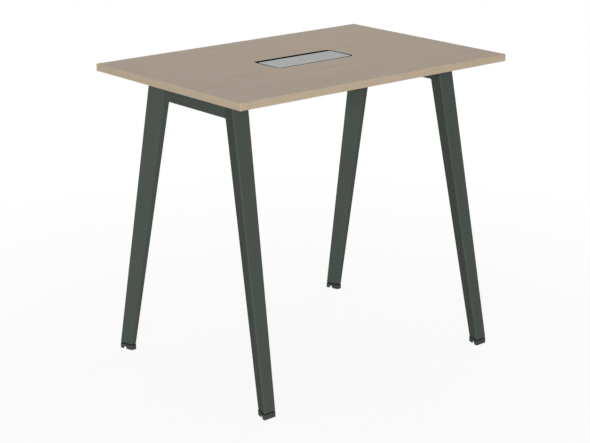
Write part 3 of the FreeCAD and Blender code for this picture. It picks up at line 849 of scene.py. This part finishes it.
def makeHexHead():
    # a hexagon bar cut back to a cone at its lower corners
    tall = railBolt["headTall"] - railBolt["collarTall"]
    half = railBolt["wide"] / 2
    low = -railBolt["headTall"]
    head = addRing(6, half / math.cos(math.pi / 6), low, math.pi / 6)
    bpy.ops.mesh.extrude_region_move(TRANSFORM_OT_translate={"value": (0, 0, tall)})
    closeRing()
    pick(head, lambda spot: spot.z < low + tall / 2)
    closeRing()
    endEdit()
    bpy.ops.object.select_all(action="DESELECT")
    small = half * railBolt["chamfer"]
    rise = math.tan(math.radians(railBolt["chamferAngle"]))
    bpy.ops.mesh.primitive_cone_add(
        vertices=railBolt["chamferSides"],
        radius1=small,
        radius2=small + tall / rise,
        depth=tall,
        location=(0, 0, low + tall / 2),
    )
    cone = bpy.context.object
    bpy.context.view_layer.objects.active = head
    cut = head.modifiers.new("chamfer", "BOOLEAN")
    cut.operation = "INTERSECT"
    cut.object = cone
    bpy.ops.object.modifier_apply(modifier=cut.name)
    head.select_set(False)
    bpy.ops.object.delete()
    return head


def makeHexBolt():
    # the seat is at height 0, the shank goes up and the head hangs below
    collar = railBolt["collarRadius"]
    low = -railBolt["collarTall"]
    radius = railBolt["radius"]
    core = railBolt["core"]
    plain = railBolt["plain"]
    length = railBolt["length"]
    shank = addRing(railBolt["shankSides"], collar, low)
    turnRings([
        (collar, low),
        (collar, 0),
        (radius, 0),
        (radius, plain),
        (core, plain + railBolt["step"]),
        (core, length - railBolt["edge"]),
        (core * railBolt["end"], length),
    ])
    closeRing()
    pick(shank, lambda spot: spot.z < low / 2)
    closeRing()
    endEdit()
    ridge = windThread(radius, railBolt["pitch"], plain, length)
    return joinPieces("boltModel", [shank, makeHexHead(), ridge])


def boltPlaces():
    low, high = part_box("rail_bolts")
    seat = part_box("cleat_front_left")[0].z
    x = high.x - railBolt["wide"] / math.sqrt(3)
    y = high.y - railBolt["wide"] / 2
    return [(sideX * x, sideY * y, seat) for sideX, sideY in corners.values()]


railBolts = joinPieces("railBolts", putCopies(makeHexBolt(), boltPlaces()))
setPiece(railBolts, "table", "zinc_steel", "zinc", "rail_bolts")
print("rail bolts made")


# levelling screws: a neck with a hexagon socket, a bearing flange and a long thread

levelScrew = {
    "sides": 36,
    "neck": 0.004,
    "seat": 0.012,
    "flangeThick": 0.004,
    "radius": 0.005,
    "core": 0.0043,
    "end": 0.85,  # as a share of the core
    "pitch": 0.0015,
    "edge": 0.0005,
    "socket": 0.0023,
    "socketDeep": 0.003,
}


def makeLevelScrew():
    low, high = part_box("level_screw_front_left")
    neck = levelScrew["neck"]
    seat = levelScrew["seat"]
    edge = levelScrew["edge"]
    core = levelScrew["core"]
    flange = (high.x - low.x) / 2
    flangeTop = seat + levelScrew["flangeThick"]
    screw = addRing(6, levelScrew["socket"], low.z)
    bpy.ops.mesh.extrude_region_move(TRANSFORM_OT_translate={"value": (0, 0, levelScrew["socketDeep"])})
    closeRing()
    ringOutside(screw, levelScrew["sides"], neck - edge, low.z)
    turnRings([
        (neck - edge, low.z),
        (neck, low.z + edge),
        (neck, seat),
        (flange - edge, seat),
        (flange, seat + edge),
        (flange, flangeTop - edge),
        (flange - edge, flangeTop),
        (core, flangeTop),
        (core, high.z - edge),
        (core * levelScrew["end"], high.z),
    ])
    closeRing()
    endEdit()
    ridge = windThread(levelScrew["radius"], levelScrew["pitch"], flangeTop, high.z - edge)
    return joinPieces("levelScrewModel", [screw, ridge])


def screwAxes():
    axes = []
    for corner in corners:
        low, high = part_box("level_screw_" + corner)
        axes.append(((low.x + high.x) / 2, (low.y + high.y) / 2, 0))
    return axes


for corner, screw in zip(corners, putCopies(makeLevelScrew(), screwAxes())):
    joinPieces("levelScrew_" + corner, [screw])
    setPiece(screw, corner + "_screw", "zinc_steel", "zinc", "level_screw_" + corner)
print("levelling screws made")


# welds: a bead of ripples along each seam of an end frame

weld = {
    "radius": 0.0019,
    "ripple": 0.0023,
    "pinch": 0.78,
    "sides": 8,
    "flat": 0.00005,  # points this near to a flat side are on it
    "facing": 0.9,  # a side faces a way when the cosine of the angle between is above this
    "smoothBelow": 60,
}


def seamEnds(node, direction, wanted):
    # of the wanted points on the flat side that faces this way, the two furthest apart
    mesh = nodes[node].data
    facing = [face for face in mesh.polygons if face.normal.dot(Vector(direction)) > weld["facing"]]
    normal = max(facing, key=lambda face: face.area).normal
    spots = [vertex.co for vertex in mesh.vertices if wanted(vertex.co)]
    reach = max(spot.dot(normal) for spot in spots)
    flat = [spot for spot in spots if reach - spot.dot(normal) < weld["flat"]]
    return max(itertools.combinations(flat, 2), key=lambda pair: (pair[0] - pair[1]).length)


def layBead(start, end):
    # one ripple on the upright axis, pinched at both ends, repeated, then laid along the seam
    along = end - start
    ripples = max(2, round(along.length / weld["ripple"]))
    step = along.length / ripples
    bpy.ops.object.select_all(action="DESELECT")
    bpy.ops.mesh.primitive_cylinder_add(
        vertices=weld["sides"],
        radius=weld["radius"],
        depth=step,
        end_fill_type="NOTHING",
        location=(0, 0, step / 2),
    )
    bpy.ops.object.transform_apply(location=True, rotation=True, scale=True)
    bead = bpy.context.object
    bpy.ops.object.mode_set(mode="EDIT")
    pickEdges(bead, lambda edge: abs(edge.verts[0].co.z - edge.verts[1].co.z) > step / 2)
    bpy.ops.mesh.subdivide(number_cuts=1)
    pinch = weld["pinch"]
    pick(bead, lambda spot: abs(spot.z - step / 2) > step / 4)
    bpy.ops.transform.resize(value=(pinch, pinch, 1), center_override=(0, 0, step / 2))
    bpy.ops.object.mode_set(mode="OBJECT")
    repeatInRow(bead, ripples, (0, 0, step), meshing["samePlace"])
    bpy.ops.object.mode_set(mode="EDIT")
    bpy.ops.mesh.select_all(action="SELECT")
    bpy.ops.mesh.fill_holes(sides=weld["sides"])
    endEdit(weld["smoothBelow"])
    bead.location = start
    bead.rotation_euler = along.to_track_quat("Z", "Y").to_euler()
    bpy.ops.object.transform_apply(location=True, rotation=True, scale=True)
    return bead


def frameSeams(end):
    # leg to top plate on three sides, and leg to end rail on both sides and below
    seams = []
    rail = "end_rail_" + end
    low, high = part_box(rail)
    for side, sideY in (("front", -1), ("back", 1)):
        leg = "leg_" + side + "_" + end
        legLow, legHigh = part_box(leg)
        inner = min(abs(legLow.y), abs(legHigh.y))
        slope = (high.y - inner) / (high.z - low.z)
        for direction in ((0, sideY, 0), (1, 0, 0), (-1, 0, 0)):
            seams.append(seamEnds(leg, direction, lambda spot: spot.z > high.z - weld["flat"]))
        for direction in ((0, 0, -1), (1, 0, 0), (-1, 0, 0)):
            seams.append(seamEnds(
                rail,
                direction,
                lambda spot: spot.y * sideY + (spot.z - low.z) * slope > high.y - weld["flat"],
            ))
    return seams


for end in ("left", "right"):
    welds = joinPieces("frameWelds_" + end, [layBead(*seam) for seam in frameSeams(end)])
    setPiece(welds, "table", "painted_steel", "powderCoat")
print("welds laid")


# bristles of the strip brush across the cable slot

brush = {
    "spacing": 0.0007,
    "radius": 0.0002,
    "sides": 4,
    "cuts": 2,
    "tip": 0.6,  # the free end's thickness, as a share
    "tipReach": 0.1,
    "layers": 3,  # pairs of rows
    "shift": 0.27,  # from one pair to the next, as a share of the spacing
    "stray": 0.0022,
    "strayCurve": 2,
    "tufts": ({"size": 0.012, "share": 0.65}, {"size": 0.003, "share": 0.35}),
}


def makeBristles():
    low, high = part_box("brush_bristles")
    reach = high.y - low.y
    radius = brush["radius"]
    x = low.x + brush["stray"] / 2
    z = low.z + radius * 2
    bpy.ops.object.select_all(action="DESELECT")
    bpy.ops.mesh.primitive_cylinder_add(
        vertices=brush["sides"],
        radius=radius,
        depth=reach,
        location=(x, (low.y + high.y) / 2, z),
        rotation=(math.pi / 2, 0, 0),
    )
    bpy.ops.object.transform_apply(location=True, rotation=True, scale=True)
    bristles = bpy.context.object
    bristles.name = "brushBristles"
    bpy.ops.object.mode_set(mode="EDIT")
    pickEdges(bristles, lambda edge: abs(edge.verts[0].co.y - edge.verts[1].co.y) > reach / 2)
    bpy.ops.mesh.subdivide(number_cuts=brush["cuts"])
    # each bristle is thinner towards its free end
    tip = brush["tip"]
    pick(bristles, lambda spot: spot.y < low.y + reach * brush["tipReach"])
    bpy.ops.transform.resize(value=(tip, 1, tip), center_override=(x, low.y, z))
    endEdit()
    bend = bristles.vertex_groups.new(name="bend")
    for vertex in bristles.data.vertices:
        free = (high.y - vertex.co.y) / reach
        bend.add([vertex.index], free ** brush["strayCurve"], "REPLACE")
    # a row, a second one above it in its gaps, and more of such pairs, each a little to the side
    side = brush["spacing"]
    columns = int((high.x - low.x - brush["stray"]) / side)
    rise = (high.z - low.z - radius * 4) / (brush["layers"] * 2 - 1)
    repeatInRow(bristles, columns, (side, 0, 0))
    repeatInRow(bristles, 2, (side / 2, 0, rise))
    repeatInRow(bristles, brush["layers"], (side * brush["shift"], 0, rise * 2))
    # free ends stray to the sides, in tufts
    for tuft in brush["tufts"]:
        cloud = bpy.data.textures.new("stray", "CLOUDS")
        cloud.noise_scale = tuft["size"]
        push = bristles.modifiers.new("stray", "DISPLACE")
        push.texture = cloud
        push.texture_coords = "LOCAL"
        push.direction = "X"
        push.mid_level = 0.5
        push.strength = brush["stray"] * tuft["share"] * 2
        push.vertex_group = "bend"
        bpy.ops.object.modifier_apply(modifier=push.name)
    return bristles


setPiece(makeBristles(), "table", "bristle", "bristle", "brush_bristles")
print("brush bristles made")
